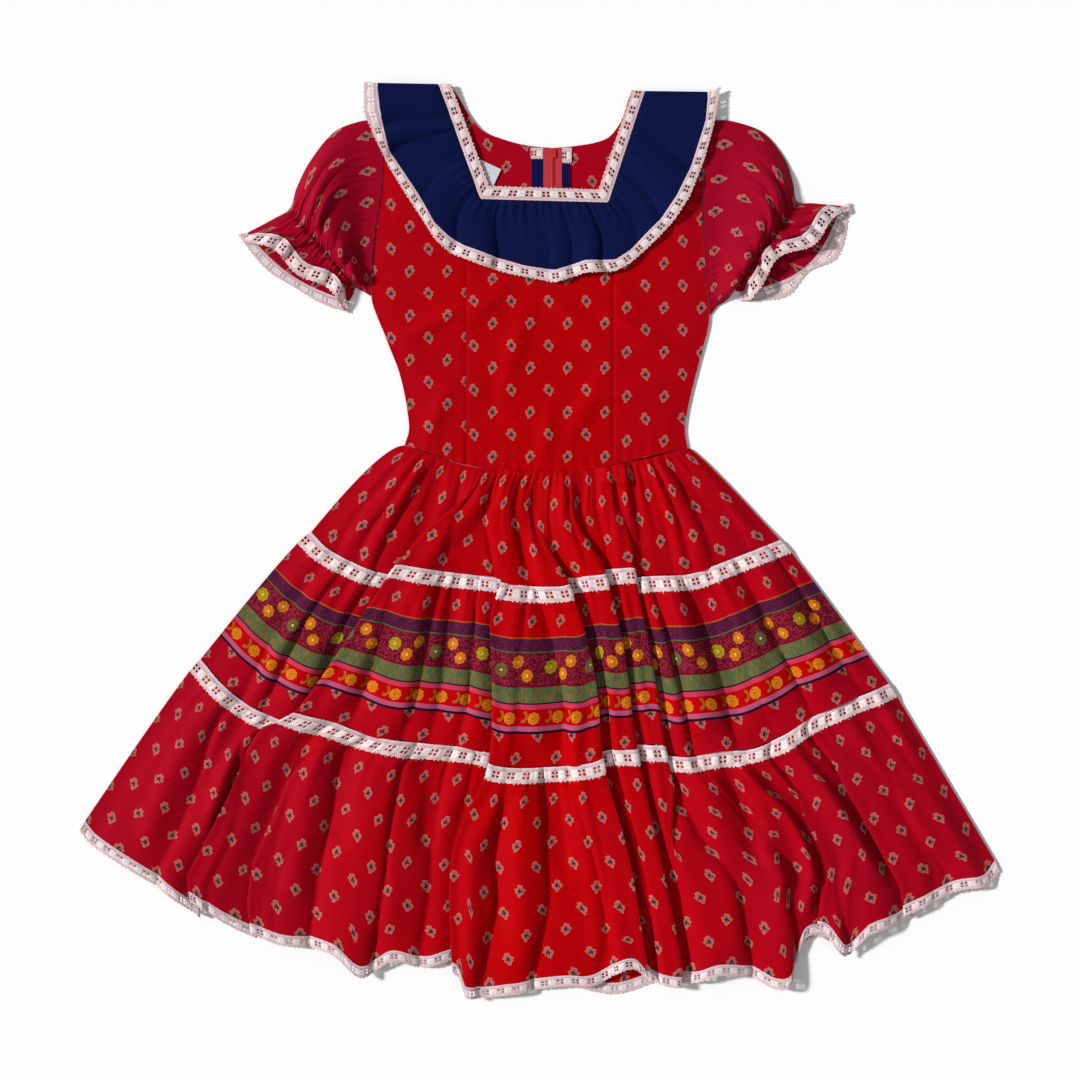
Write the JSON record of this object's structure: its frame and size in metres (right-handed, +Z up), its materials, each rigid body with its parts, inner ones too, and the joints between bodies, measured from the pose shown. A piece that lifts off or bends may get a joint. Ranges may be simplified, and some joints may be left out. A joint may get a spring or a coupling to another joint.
{
  "type": "prairie dress",
  "caption": "Prairie dress laid flat on its back: tiered gathered skirt, puffed sleeves, gathered collar over a square neck, lace edgings and a back zip.",
  "frame": {"origin": "on the surface that the dress lies on, under the middle of its outline", "axes": "+Y towards the neck, +X to the right seen from above the front, +Z up out of the front"},
  "size_m": [1.0598, 1.0486, 0.0212],
  "materials": {
    "red_print_cotton": "red cotton with a small scattered leaf print, matt",
    "border_print_cotton": "red cotton with a printed border of flowers and stripes, matt",
    "navy_cotton": "plain navy cotton, matt",
    "white_lace": "white cotton edging lace with small holes",
    "zip_tape_red": "red woven zip tape",
    "zip_metal_red": "red enamel over metal",
    "label_white": "white woven label, blank"
  },
  "bodies": {
    "dress": {"bodice_front_centre": "red_print_cotton", "bodice_front_side_left": "red_print_cotton", "bodice_front_side_right": "red_print_cotton", "bodice_back_left": "red_print_cotton", "bodice_back_right": "red_print_cotton", "sleeve_left": "red_print_cotton", "sleeve_right": "red_print_cotton", "skirt_tier_1_front": "red_print_cotton", "skirt_tier_1_back": "red_print_cotton", "skirt_tier_3_front": "red_print_cotton", "skirt_tier_3_back": "red_print_cotton", "skirt_tier_2_front": "border_print_cotton", "skirt_tier_2_back": "border_print_cotton", "collar_front": "navy_cotton", "collar_back_left": "navy_cotton", "collar_back_right": "navy_cotton", "collar_end_left": "navy_cotton", "collar_end_right": "navy_cotton", "collar_lace_front": "white_lace", "collar_lace_back_left": "white_lace", "collar_lace_back_right": "white_lace", "neck_lace_front": "white_lace", "neck_lace_back_left": "white_lace", "neck_lace_back_right": "white_lace", "neck_lace_end_left": "white_lace", "neck_lace_end_right": "white_lace", "sleeve_lace_left": "white_lace", "sleeve_lace_right": "white_lace", "tier_lace_1_front": "white_lace", "tier_lace_1_back": "white_lace", "tier_lace_2_front": "white_lace", "tier_lace_2_back": "white_lace", "hem_lace_front": "white_lace", "hem_lace_back": "white_lace", "zip_tape": "zip_tape_red", "zip_slider": "zip_metal_red", "neck_label": "label_white"},
    "pull": {"zip_pull": "zip_metal_red"}
  },
  "joints": [
    {"name": "zip_pull_swing", "type": "hinge", "parent": "dress", "child": "pull", "pos_m": [0.01488, 0.44428, 0.00075], "axis": [1, 0, 0], "range_deg": [0, 150]}
  ]
}
